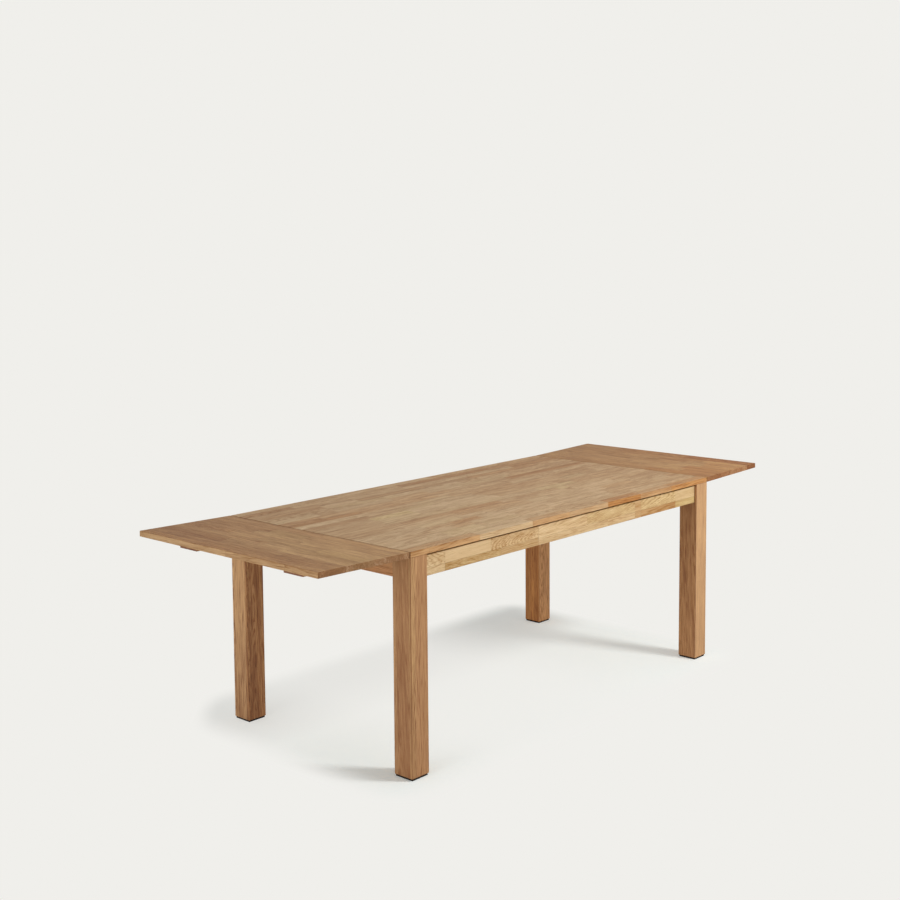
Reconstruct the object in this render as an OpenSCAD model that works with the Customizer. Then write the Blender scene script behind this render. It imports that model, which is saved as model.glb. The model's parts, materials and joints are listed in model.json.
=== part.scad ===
// Extendable dining table in solid oak. Four legs and an apron frame carry the fixed
// top. Four flat bearers pull out through the end aprons and carry two loose end
// leaves, which plug into the ends of the fixed top with dowels.
// Millimetres. The origin is on the floor at the table's centre, +X runs along the
// table and +Z is up. Front is the -Y side, left is the -X side.

/* [Top] */
// Length of the fixed top
top_l = 1800; // [1700:10:2000]
// Width of the fixed top and of both leaves
top_w = 900; // [860:10:1000]
// Thickness of the top and the leaves
top_t = 20; // [18:1:26]
// Height of the fixed top above the floor
table_h = 760; // [720:5:780]

/* [Leaves] */
// Length that one leaf adds to the table
leaf_l = 400; // [360:10:450]
// How far a leaf's outer edge stands above its inner edge
leaf_rise = 9; // [5:1:10]
// Gap between a leaf and the fixed top, at their undersides
seam = 0.9; // [0.8:0.1:1.5]

/* [Legs] */
// Width of a square leg
leg_w = 80; // [70:1:90]
// Thickness of the pad under a leg
pad_t = 6; // [4:1:7]
// How far a pad stands back from the faces of its leg
pad_inset = 3; // [1:1:6]
// Chamfer round the foot of a leg
foot_chamfer = 2; // [1:1:3]

/* [Aprons and rails] */
// Height of the aprons
apron_h = 70; // [68:1:80]
// Thickness of the aprons and the cross rails
apron_t = 22; // [20:1:26]
// How far the aprons stand back from the faces of the legs
setback = 10; // [6:1:14]
// Shadow gap between the aprons and the top
shadow_gap = 6; // [4:1:8]
// Distance from the table's centre to an outer cross rail
rail_x = 520; // [500:5:540]

/* [Bearers] */
// Width of a bearer
bearer_w = 90; // [80:1:96]
// Thickness of a bearer
bearer_t = 28; // [24:1:29]
// Distance from the table's centre line to the middle of a bearer
bearer_y = 265; // [255:1:270]
// Distance from a leaf's outer edge to the end of a pulled-out bearer
bearer_inset = 66; // [50:1:100]

/* [Hidden] */
$fn = 32;

// Colours
top_oak = [0.73, 0.60, 0.45];
leaf_oak = [0.68, 0.53, 0.38];
leg_oak = [0.70, 0.51, 0.35];
apron_oak = [0.83, 0.66, 0.43];
end_oak = [0.72, 0.48, 0.30];
inner_wood = [0.78, 0.66, 0.48];
dowel_beech = [0.86, 0.74, 0.58];
zinc = [0.74, 0.75, 0.77];
pad_black = [0.09, 0.08, 0.08];

// Fits
bore_play = 0.1;    // round a dowel, bolt or screw in its hole
socket_play = 0.4;  // round a leaf's dowel in the fixed top
skim = 0.4;         // between pieces that slide past each other
side_play = 1;      // beside a bearer in its notches
stop_gap = 1;       // left at the end of a bearer's travel

// Heights
under_z = table_h - top_t;
apron_top = under_z - shadow_gap;
apron_low = apron_top - apron_h;
rail_low = apron_low + 4;

// Faces of the frame, from the table's centre
end_x = top_l / 2;
side_y = top_w / 2;
leg_x = end_x - leg_w;
leg_y = side_y - leg_w;
apron_x = end_x - setback - apron_t;
apron_y = side_y - setback - apron_t;

// Leaves and bearers, measured outwards from the seam along the incline
tilt = atan(leaf_rise / leaf_l);
bearer_out = seam + leaf_l - bearer_inset;
bearer_home = 2;    // how far inside the seam a pushed-in bearer ends
bearer_l = (end_x - apron_t / 2 - stop_gap) / cos(tilt) - bearer_home;

// Stop block under each bearer, which meets the outer cross rail
stop_l = 30;
stop_w = 60;
stop_h = 16;
stop_x = -(end_x - rail_x + apron_t / 2 + skim) / cos(tilt) - (skim + bearer_t + stop_h) * tan(tilt);
stop_screw_y = 18;

// Packers between the top and the bearers
packer_from = rail_x + 40;
packer_to = apron_x - 100;
packer_w = 60;

// Battens under the leaves, just inside the bearers
batten_l = 270;
batten_w = 40;
batten_t = 18;
batten_x = 40;
batten_y = bearer_y - bearer_w / 2 - side_play - batten_w / 2;
batten_screw_x = [batten_x + 25, batten_x + batten_l / 2, batten_x + batten_l - 25];

// Dowels
dowel_r = 4;
leaf_dowel_y = [-360, -120, 120, 360];
leaf_dowel_in = 16;
leaf_dowel_out = 14;
apron_dowel_z = [apron_low + 20, apron_low + 50];
apron_dowel_half = 21;
rail_dowel_z = [rail_low + 16, rail_low + 48];
rail_dowel_in = 18;
rail_dowel_out = 12;

// Screws
screw_r = 2;
head_r = 4;
head_h = 2.2;
sunk = 4;           // how deep a sunk head sits

// Corner blocks and their hanger bolts
block_seat = 10;    // flat cut on a leg's inner corner, across each face
block_t = 28;
block_h = 38;
block_low = apron_low + 2;
block_sum = leg_x + leg_y + block_seat;
block_in_sum = block_sum - block_t * sqrt(2);
block_screw = 15;   // from the end of a block to its screw
block_screw_l = 24;
bolt_r = 4;
bolt_z = [block_low + 10, block_low + 28];
bolt_in_leg = 45;
bolt_tail = 12;
washer_r = 8;
washer_t = 1.6;
nut_r = 7.5;
nut_t = 6.5;

// Brackets between the aprons and the top
bracket_x = [240, 700];
bracket_w = 30;
bracket_l = 28;
bracket_t = 2.5;
bracket_hole = 19;
bracket_screw_l = 16;

// Height of the leaves' underside plane at a distance x from the table's centre
function plane_z(x) = under_z - (end_x - x) * tan(tilt);

// Lowest point of a bearer between a distance x and the table's end
function bearer_low(x) = plane_z(x) - (skim + bearer_t) / cos(tilt);

// ---- Placing ----

module quadrant(side, row) {
    mirror([side < 0 ? 1 : 0, 0, 0])
        mirror([0, row < 0 ? 1 : 0, 0])
            children();
}

module each_quadrant() {
    for (side = [-1, 1], row = [-1, 1])
        quadrant(side, row)
            children();
}

// Frame of one leaf: +x outwards along the incline from the seam, z = 0 at its underside
module on_incline(side) {
    quadrant(side, 1)
        translate([end_x, 0, under_z])
            rotate([0, -tilt, 0])
                children();
}

// Frame of a hanger bolt: +z from the block's outer face into the leg
module along_bolts() {
    for (z = bolt_z)
        translate([(block_sum + leg_x - leg_y) / 2, (block_sum - leg_x + leg_y) / 2, z])
            rotate([0, 0, 45])
                rotate([0, 90, 0])
                    children();
}

// Frame of a bracket: +x inwards from an apron's inner face, z = 0 at the top's underside
module at_brackets() {
    for (side = [-1, 1], row = [-1, 1], x = bracket_x)
        translate([side * x, row * apron_y, under_z])
            rotate([0, 0, -90 * row])
                children();
    for (side = [-1, 1])
        translate([side * apron_x, 0, under_z])
            rotate([0, 0, side > 0 ? 180 : 0])
                children();
}

// ---- Fasteners, drawn or grown by some play to cut their holes ----

// A screw with its head above z = 0 and its shank below
module screw(length, play = 0, sink = 0) {
    translate([0, 0, -length - play])
        cylinder(r = screw_r + play, h = length + play + 0.01);
    cylinder(r = head_r + play, h = head_h + sink);
}

module dowel(back, ahead, play = 0) {
    translate([0, 0, -back - play])
        cylinder(r = dowel_r + play, h = back + ahead + 2 * play);
}

module foot_screws(play = 0, sink = 0) {
    each_quadrant()
        translate([leg_x + leg_w / 2, leg_y + leg_w / 2, head_h + 0.6])
            rotate([180, 0, 0])
                screw(24, play, sink);
}

module apron_dowel_set(play = 0) {
    each_quadrant()
        for (z = apron_dowel_z) {
            translate([leg_x, apron_y + apron_t / 2, z])
                rotate([0, 90, 0])
                    dowel(apron_dowel_half, apron_dowel_half, play);
            translate([apron_x + apron_t / 2, leg_y, z])
                rotate([-90, 0, 0])
                    dowel(apron_dowel_half, apron_dowel_half, play);
        }
}

module rail_dowel_set(play = 0) {
    for (x = [-rail_x, 0, rail_x], row = [-1, 1], z = rail_dowel_z)
        translate([x, row * apron_y, z])
            rotate([-90 * row, 0, 0])
                dowel(rail_dowel_in, rail_dowel_out, play);
}

module block_screw_set(play = 0, sink = 0) {
    each_quadrant() {
        translate([block_in_sum - apron_y + block_screw, apron_y - block_screw + sunk, block_low + block_h / 2])
            rotate([90, 0, 0])
                screw(block_screw_l, play, sink);
        translate([apron_x - block_screw + sunk, block_in_sum - apron_x + block_screw, block_low + block_h / 2])
            rotate([0, -90, 0])
                screw(block_screw_l, play, sink);
    }
}

module hanger_bolt_set(play = 0) {
    each_quadrant()
        along_bolts()
            translate([0, 0, -block_t - bolt_tail])
                cylinder(r = bolt_r + play, h = block_t + bolt_tail + bolt_in_leg + play);
}

module bracket_screw_set(play = 0) {
    at_brackets() {
        translate([bracket_t, 0, -bracket_hole])
            rotate([0, 90, 0])
                screw(bracket_screw_l, play);
        translate([bracket_hole, 0, -bracket_t])
            rotate([180, 0, 0])
                screw(bracket_screw_l, play);
    }
}

// In the leaf's frame
module leaf_dowel_set(play = 0) {
    for (y = leaf_dowel_y)
        translate([seam, y, top_t / 2])
            rotate([0, 90, 0])
                dowel(leaf_dowel_out, leaf_dowel_in, play);
}

// In the leaf's frame
module batten_screw_set(play = 0, sink = 0) {
    for (row = [-1, 1], x = batten_screw_x)
        translate([x, row * batten_y, -batten_t + head_h + sunk])
            rotate([180, 0, 0])
                screw(24, play, sink);
}

// In the leaf's frame
module stop_screw_set(row, play = 0, sink = 0) {
    for (y = [-stop_screw_y, stop_screw_y])
        translate([stop_x - stop_l / 2, row * bearer_y + y, -skim - bearer_t - stop_h + head_h + sunk])
            rotate([180, 0, 0])
                screw(26, play, sink);
}

// ---- Fixed frame ----

module table_top() {
    color(top_oak)
        difference() {
            translate([-end_x, -side_y, under_z])
                cube([top_l, top_w, top_t]);
            for (side = [-1, 1])
                on_incline(side)
                    leaf_dowel_set(socket_play);
            bracket_screw_set(bore_play);
        }
}

module leg(side, row) {
    color(leg_oak)
        difference() {
            quadrant(side, row)
                difference() {
                    translate([leg_x, leg_y, pad_t])
                        cube([leg_w, leg_w, under_z - pad_t]);
                    foot_edges();
                    // seat for the corner block
                    translate([leg_x, leg_y, apron_low])
                        rotate([0, 0, 45])
                            translate([-leg_w, -leg_w, 0])
                                cube([leg_w + block_seat / sqrt(2), 2 * leg_w, apron_h + 2 * shadow_gap]);
                }
            apron_dowel_set(bore_play);
            hanger_bolt_set(bore_play);
            foot_screws(bore_play);
        }
}

// Prisms that chamfer the four bottom edges of the leg at +x +y
module foot_edges() {
    cut = foot_chamfer * sqrt(2);
    translate([leg_x + leg_w / 2, leg_y + leg_w / 2, pad_t])
        for (turn = [0:90:270])
            rotate([0, 0, turn])
                translate([leg_w / 2, 0, 0])
                    rotate([0, 45, 0])
                        translate([-cut / 2, -leg_w, -cut / 2])
                            cube([cut, 2 * leg_w, cut]);
}

module foot_pad(side, row) {
    color(pad_black)
        difference() {
            quadrant(side, row)
                translate([leg_x + pad_inset, leg_y + pad_inset, 0])
                    cube([leg_w - 2 * pad_inset, leg_w - 2 * pad_inset, pad_t]);
            foot_screws(bore_play, pad_t);
        }
}

module foot_pad_screws() {
    color(zinc)
        foot_screws();
}

module long_apron(row) {
    color(apron_oak)
        difference() {
            quadrant(1, row)
                translate([-leg_x, apron_y, apron_low])
                    cube([2 * leg_x, apron_t, apron_h]);
            apron_dowel_set(bore_play);
            rail_dowel_set(bore_play);
            block_screw_set(bore_play);
            bracket_screw_set(bore_play);
        }
}

module end_apron(side) {
    color(end_oak)
        difference() {
            quadrant(side, 1)
                translate([apron_x, -leg_y, apron_low])
                    cube([apron_t, 2 * leg_y, apron_h]);
            quadrant(side, 1)
                bearer_notches(apron_x);
            apron_dowel_set(bore_play);
            block_screw_set(bore_play);
            bracket_screw_set(bore_play);
        }
}

// Notches, open at the top, that let two bearers through a board whose inner face is at x
module bearer_notches(x) {
    for (row = [-1, 1])
        translate([x - 1, row * bearer_y - bearer_w / 2 - side_play, bearer_low(x) - skim])
            cube([apron_t + 2, bearer_w + 2 * side_play, top_w]);
}

module apron_dowels() {
    color(dowel_beech)
        apron_dowel_set();
}

module cross_rail(x) {
    color(inner_wood)
        difference() {
            translate([x - apron_t / 2, -apron_y, rail_low])
                cube([apron_t, 2 * apron_y, under_z - rail_low]);
            if (x != 0)
                quadrant(x, 1)
                    bearer_notches(rail_x - apron_t / 2);
            rail_dowel_set(bore_play);
        }
}

module rail_dowels() {
    color(dowel_beech)
        rail_dowel_set();
}

module corner_block(side, row) {
    color(inner_wood)
        difference() {
            quadrant(side, row)
                translate([0, 0, block_low])
                    linear_extrude(block_h)
                        polygon([
                            [block_sum - apron_y, apron_y],
                            [block_in_sum - apron_y, apron_y],
                            [apron_x, block_in_sum - apron_x],
                            [apron_x, block_sum - apron_x]
                        ]);
            hanger_bolt_set(3 * bore_play);
            block_screw_set(bore_play, block_t);
        }
}

module corner_block_screws() {
    color(zinc)
        block_screw_set();
}

module hanger_bolts() {
    color(zinc)
        hanger_bolt_set();
}

module hanger_washers() {
    color(zinc)
        difference() {
            each_quadrant()
                along_bolts()
                    translate([0, 0, -block_t - washer_t])
                        cylinder(r = washer_r, h = washer_t);
            hanger_bolt_set(3 * bore_play);
        }
}

module hanger_nuts() {
    color(zinc)
        difference() {
            each_quadrant()
                along_bolts()
                    translate([0, 0, -block_t - washer_t - nut_t])
                        cylinder(r = nut_r, h = nut_t, $fn = 6);
            hanger_bolt_set(bore_play);
        }
}

module top_brackets() {
    color(zinc)
        difference() {
            at_brackets() {
                translate([0, -bracket_w / 2, -bracket_l])
                    cube([bracket_t, bracket_w, bracket_l]);
                translate([0, -bracket_w / 2, -bracket_t])
                    cube([bracket_l, bracket_w, bracket_t]);
            }
            bracket_screw_set(bore_play);
        }
}

module top_bracket_screws() {
    color(zinc)
        bracket_screw_set();
}

// Tapered strips that hold the bearers down to the incline
module packers(side) {
    color(inner_wood)
        quadrant(side, 1)
            for (row = [-1, 1])
                translate([0, row * bearer_y + packer_w / 2, 0])
                    rotate([90, 0, 0])
                        linear_extrude(packer_w)
                            polygon([
                                [packer_from, under_z],
                                [packer_from, plane_z(packer_from)],
                                [packer_to, plane_z(packer_to)],
                                [packer_to, under_z]
                            ]);
}

// ---- Leaves ----

module leaf(side) {
    color(leaf_oak)
        on_incline(side)
            difference() {
                translate([seam, -side_y, 0])
                    cube([leaf_l, top_w, top_t]);
                leaf_dowel_set(bore_play);
                batten_screw_set(bore_play);
            }
}

module leaf_dowels(side) {
    color(dowel_beech)
        on_incline(side)
            leaf_dowel_set();
}

module leaf_battens(side) {
    color(inner_wood)
        on_incline(side)
            difference() {
                for (row = [-1, 1])
                    translate([batten_x, row * batten_y - batten_w / 2, -batten_t])
                        cube([batten_l, batten_w, batten_t]);
                batten_screw_set(bore_play, batten_t);
            }
}

module batten_screws(side) {
    color(zinc)
        on_incline(side)
            batten_screw_set();
}

// ---- Bearers ----

module bearer(side, row) {
    color(leg_oak)
        on_incline(side)
            difference() {
                translate([bearer_out - bearer_l, row * bearer_y - bearer_w / 2, -skim - bearer_t])
                    cube([bearer_l, bearer_w, bearer_t]);
                stop_screw_set(row, bore_play);
            }
}

module bearer_stop(side, row) {
    color(inner_wood)
        on_incline(side)
            difference() {
                translate([stop_x - stop_l, row * bearer_y - stop_w / 2, -skim - bearer_t - stop_h])
                    cube([stop_l, stop_w, stop_h]);
                stop_screw_set(row, bore_play, stop_h);
            }
}

module stop_screws(side, row) {
    color(zinc)
        on_incline(side)
            stop_screw_set(row);
}

table_top();
leg(-1, -1);  // leg_front_left
leg(1, -1);  // leg_front_right
leg(-1, 1);  // leg_back_left
leg(1, 1);  // leg_back_right
foot_pad(-1, -1);  // foot_pad_front_left
foot_pad(1, -1);  // foot_pad_front_right
foot_pad(-1, 1);  // foot_pad_back_left
foot_pad(1, 1);  // foot_pad_back_right
foot_pad_screws();
long_apron(-1);  // front_apron
long_apron(1);  // back_apron
end_apron(-1);  // left_end_apron
end_apron(1);  // right_end_apron
apron_dowels();
cross_rail(-rail_x);  // left_cross_rail
cross_rail(0);  // middle_cross_rail
cross_rail(rail_x);  // right_cross_rail
rail_dowels();
corner_block(-1, -1);  // corner_block_front_left
corner_block(1, -1);  // corner_block_front_right
corner_block(-1, 1);  // corner_block_back_left
corner_block(1, 1);  // corner_block_back_right
corner_block_screws();
hanger_bolts();
hanger_washers();
hanger_nuts();
top_brackets();
top_bracket_screws();
packers(-1);  // left_packers
packers(1);  // right_packers
leaf(-1);  // left_leaf
leaf_dowels(-1);  // left_leaf_dowels
leaf_battens(-1);  // left_leaf_battens
batten_screws(-1);  // left_batten_screws
leaf(1);  // right_leaf
leaf_dowels(1);  // right_leaf_dowels
leaf_battens(1);  // right_leaf_battens
batten_screws(1);  // right_batten_screws
bearer(-1, -1);  // bearer_left_front
bearer(-1, 1);  // bearer_left_back
bearer(1, -1);  // bearer_right_front
bearer(1, 1);  // bearer_right_back
bearer_stop(-1, -1);  // stop_left_front
bearer_stop(-1, 1);  // stop_left_back
bearer_stop(1, -1);  // stop_right_front
bearer_stop(1, 1);  // stop_right_back
stop_screws(-1, -1);  // stop_screws_left_front
stop_screws(-1, 1);  // stop_screws_left_back
stop_screws(1, -1);  // stop_screws_right_front
stop_screws(1, 1);  // stop_screws_right_back
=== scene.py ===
"""Extendable oak dining table: glued-up boards, bearers, joinery and hardware round the CAD frame."""

import json
import math
import random
from typing import NamedTuple

import bmesh
import bpy
import numpy as np
from bpy.props import FloatProperty, FloatVectorProperty, IntProperty, PointerProperty
from mathutils import Matrix, Vector


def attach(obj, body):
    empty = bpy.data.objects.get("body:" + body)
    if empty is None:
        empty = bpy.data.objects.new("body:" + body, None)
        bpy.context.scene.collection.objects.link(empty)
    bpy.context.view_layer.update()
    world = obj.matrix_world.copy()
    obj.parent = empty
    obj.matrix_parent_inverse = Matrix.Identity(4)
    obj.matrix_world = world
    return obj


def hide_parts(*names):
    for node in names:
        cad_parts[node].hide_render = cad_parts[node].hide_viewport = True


bl_info = {
    "name": "Extendable oak table",
    "version": (1, 0, 0),
    "blender": (4, 5, 0),
    "location": "3D View > Sidebar > Table",
    "description": "Builds the boards, bearers and hardware of an oak table with two end leaves",
    "category": "Add Mesh",
}

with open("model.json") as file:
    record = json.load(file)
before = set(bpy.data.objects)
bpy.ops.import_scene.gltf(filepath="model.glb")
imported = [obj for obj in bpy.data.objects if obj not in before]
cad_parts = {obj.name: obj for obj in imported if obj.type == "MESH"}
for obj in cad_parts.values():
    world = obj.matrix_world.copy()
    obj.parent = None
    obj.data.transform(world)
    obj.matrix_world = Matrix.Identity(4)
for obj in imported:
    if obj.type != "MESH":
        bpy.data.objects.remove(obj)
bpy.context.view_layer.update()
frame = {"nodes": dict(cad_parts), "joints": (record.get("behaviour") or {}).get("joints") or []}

MM = 0.001
# points this near count as touching, as one, and as on a cut
TOUCH = 0.01 * MM
WELD = 0.005 * MM
ON_CUT = 0.0001 * MM
X, Y, Z = 0, 1, 2
SIDES = ("left", "right")
ENDS = ("front", "back")
CORNERS = [f"{end}_{side}" for end in ENDS for side in SIDES]
UPRIGHT = Matrix.Identity(3)


# ---------------------------------------------------------------- settings

def colour_setting(name, description, value):
    return FloatVectorProperty(
        name=name, description=description, subtype="COLOR", size=3, min=0, max=1, default=value
    )


def length_setting(name, description, value):
    return FloatProperty(name=name, description=description, default=value, min=0, unit="LENGTH")


class TableSizes(bpy.types.PropertyGroup):
    """Sizes of the woodwork that the CAD frame leaves open"""

    stave: length_setting("Stave width", "Width of the full staves in the aprons", 43 * MM)
    arris: length_setting("Arris", "Width of the eased edges of the boards", 1.2 * MM)
    leg_arris: length_setting("Leg arris", "Width of the eased edges of the legs", 1.6 * MM)
    seam: length_setting("Seam", "How far each board stands back at the seam with a leaf", 1.6 * MM)
    seed: IntProperty(name="Stave seed", description="Picks another set of staves", default=7)


class TableColours(bpy.types.PropertyGroup):
    """Colours of the woods, the metal, the pads and the backdrop"""

    zinc: colour_setting("Zinc", "Zinc plated steel", (0.62, 0.63, 0.65))
    pad: colour_setting("Pad", "Pads under the legs", (0.018, 0.013, 0.010))
    backdrop: colour_setting("Backdrop", "Floor and backdrop", (0.871, 0.863, 0.831))


# of each wood the parts made of it, its pale colour and its deep one
WOOD_COLOURS = {
    # the top's colours are paler and greyer than its oak, partly a painted sheen on its face
    "top": ("top", (0.632, 0.450, 0.261), (0.307, 0.155, 0.052)),
    "leaf": ("leaves", (0.563, 0.348, 0.152), (0.255, 0.112, 0.030)),
    "leg": ("legs", (0.590, 0.355, 0.172), (0.225, 0.092, 0.036)),
    "apron": ("long aprons", (0.719, 0.550, 0.328), (0.355, 0.182, 0.052)),
    "end": ("end aprons", (0.668, 0.374, 0.176), (0.313, 0.122, 0.041)),
    "inner": ("hidden parts", (0.68, 0.50, 0.30), (0.40, 0.255, 0.13)),
    "beech": ("dowels", (0.77, 0.575, 0.375), (0.55, 0.37, 0.21)),
}

for wood, (parts, *colours) in WOOD_COLOURS.items():
    for shade, colour in zip(("Pale", "Deep"), colours):
        setting = colour_setting(f"{shade} {wood}", f"{shade} wood of the {parts}", colour)
        TableColours.__annotations__[f"{wood}_{shade.lower()}"] = setting


# ---------------------------------------------------------------- shader maths

def two_sided(operation):
    """A method of Value that works one Math operation on two values."""
    return lambda self, other: self.maths(operation, other)


class Value:
    """A number that a shader works out, so that its maths reads as plain expressions"""

    def __init__(self, shader, socket):
        self.shader = shader
        self.socket = socket

    def maths(self, operation, *others):
        """This number and the others through one Math node."""
        node = self.shader.node("ShaderNodeMath", {"operation": operation}, self, *others)
        return Value(self.shader, node.outputs[0])

    __add__ = __radd__ = two_sided("ADD")
    __mul__ = __rmul__ = two_sided("MULTIPLY")
    __sub__ = two_sided("SUBTRACT")
    __truediv__ = two_sided("DIVIDE")
    least = two_sided("MINIMUM")
    most = two_sided("MAXIMUM")
    power = two_sided("POWER")

    def __rsub__(self, other):
        return (self * -1) + other

    def fraction(self):
        return self.maths("FRACT")

    def ramp(self, low, high):
        """0 at low, 1 at high, smooth between and flat outside."""
        smooth = {"interpolation_type": "SMOOTHSTEP"}
        node = self.shader.node("ShaderNodeMapRange", smooth, self, low, high)
        return Value(self.shader, node.outputs["Result"])


class Shader:
    """The node tree of a material or a world"""

    def __init__(self, name, kind="materials"):
        self.owner = getattr(bpy.data, kind).new(name)
        self.owner.use_nodes = True
        self.tree = self.owner.node_tree
        self.tree.nodes.clear()

    def plug(self, value, socket):
        """Links a value to a socket, or writes a plain number or colour on it."""
        if isinstance(value, Value):
            value = value.socket
        if isinstance(value, bpy.types.NodeSocket):
            self.tree.links.new(value, socket)
        else:
            socket.default_value = value

    def node(self, kind, settings=None, *values, **sockets):
        """A node of that type. Its settings come first, then its sockets, in order or by name."""
        node = self.tree.nodes.new(kind)
        for name, value in (settings or {}).items():
            setattr(node, name, value)
        for value, socket in zip(values, node.inputs):
            self.plug(value, socket)
        for name, value in sockets.items():
            self.plug(value, node.inputs[name.replace("_", " ")])
        return node

    def vector(self, operation, *vectors, **sockets):
        """Vectors through one Vector Math node: another vector, or the number it works out."""
        node = self.node("ShaderNodeVectorMath", {"operation": operation}, *vectors, **sockets)
        number = operation in ("DOT_PRODUCT", "LENGTH")
        return Value(self, node.outputs["Value"]) if number else node.outputs["Vector"]

    def attribute(self, name):
        return self.node("ShaderNodeAttribute", {"attribute_name": name}).outputs["Vector"]

    def split(self, vector):
        parts = self.node("ShaderNodeSeparateXYZ", None, vector).outputs
        return [Value(self, part) for part in parts]

    def noise(self, vector, scale=1.0, detail=2.0, roughness=0.5):
        sockets = {"Scale": scale, "Detail": detail, "Roughness": roughness}
        return Value(self, self.node("ShaderNodeTexNoise", None, vector, **sockets).outputs["Fac"])

    def mix(self, factor, first, second):
        """One colour to the other, as the factor goes from 0 to 1."""
        node = self.node("ShaderNodeMix", {"data_type": "RGBA"}, factor)
        self.plug(first, node.inputs[6])
        self.plug(second, node.inputs[7])
        return node.outputs[2]

    def bump(self, height, distance, strength=1.0):
        node = self.node("ShaderNodeBump", None, Height=height, Distance=distance, Strength=strength)
        return node.outputs["Normal"]

    def surface(self, **sockets):
        shader = self.node("ShaderNodeBsdfPrincipled", None, **sockets)
        self.node("ShaderNodeOutputMaterial", None, Surface=shader.outputs[0])
        return self.owner

    def seen(self):
        """1 where the camera sees it, straight or through a mirror or glass, else 0."""
        path = self.node("ShaderNodeLightPath")
        seen = Value(self, path.outputs["Is Camera Ray"])
        for ray in ("Is Glossy Ray", "Is Transmission Ray"):
            seen = seen.most(Value(self, path.outputs[ray]))
        return seen

    def mix_shaders(self, factor, first, second):
        shaders = (first.outputs[0], second.outputs[0])
        return self.node("ShaderNodeMixShader", None, factor, *shaders).outputs[0]


# ---------------------------------------------------------------- finishes

# depth of the colour: 0 is all pale and 1 all deep, and past 1 it darkens further
USUAL_DEPTH = 0.51
TONE_DEPTH = 0.32
# how far the darkening deepens a face: end grain's own darkness, darker eased edges, and painted shade
# on faces inside the gaps under the top and at the seams
DARKENING_DEPTH = 0.46
OVER_DEPTH = 0.6
# what a warmth of 1, a warmth of -1 and end grain add to each colour, as shares
RED = (0.0, -0.12, -0.26)
YELLOW = (-0.03, 0.0, -0.16)
ASHEN = (-0.07, 0.03, 0.46)
PORE_COLOUR = (0.12, 0.065, 0.035, 1.0)


def rgba(colour, shares=(1.0, 1.0, 1.0)):
    return (*(c * share for c, share in zip(colour, shares)), 1.0)


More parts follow.
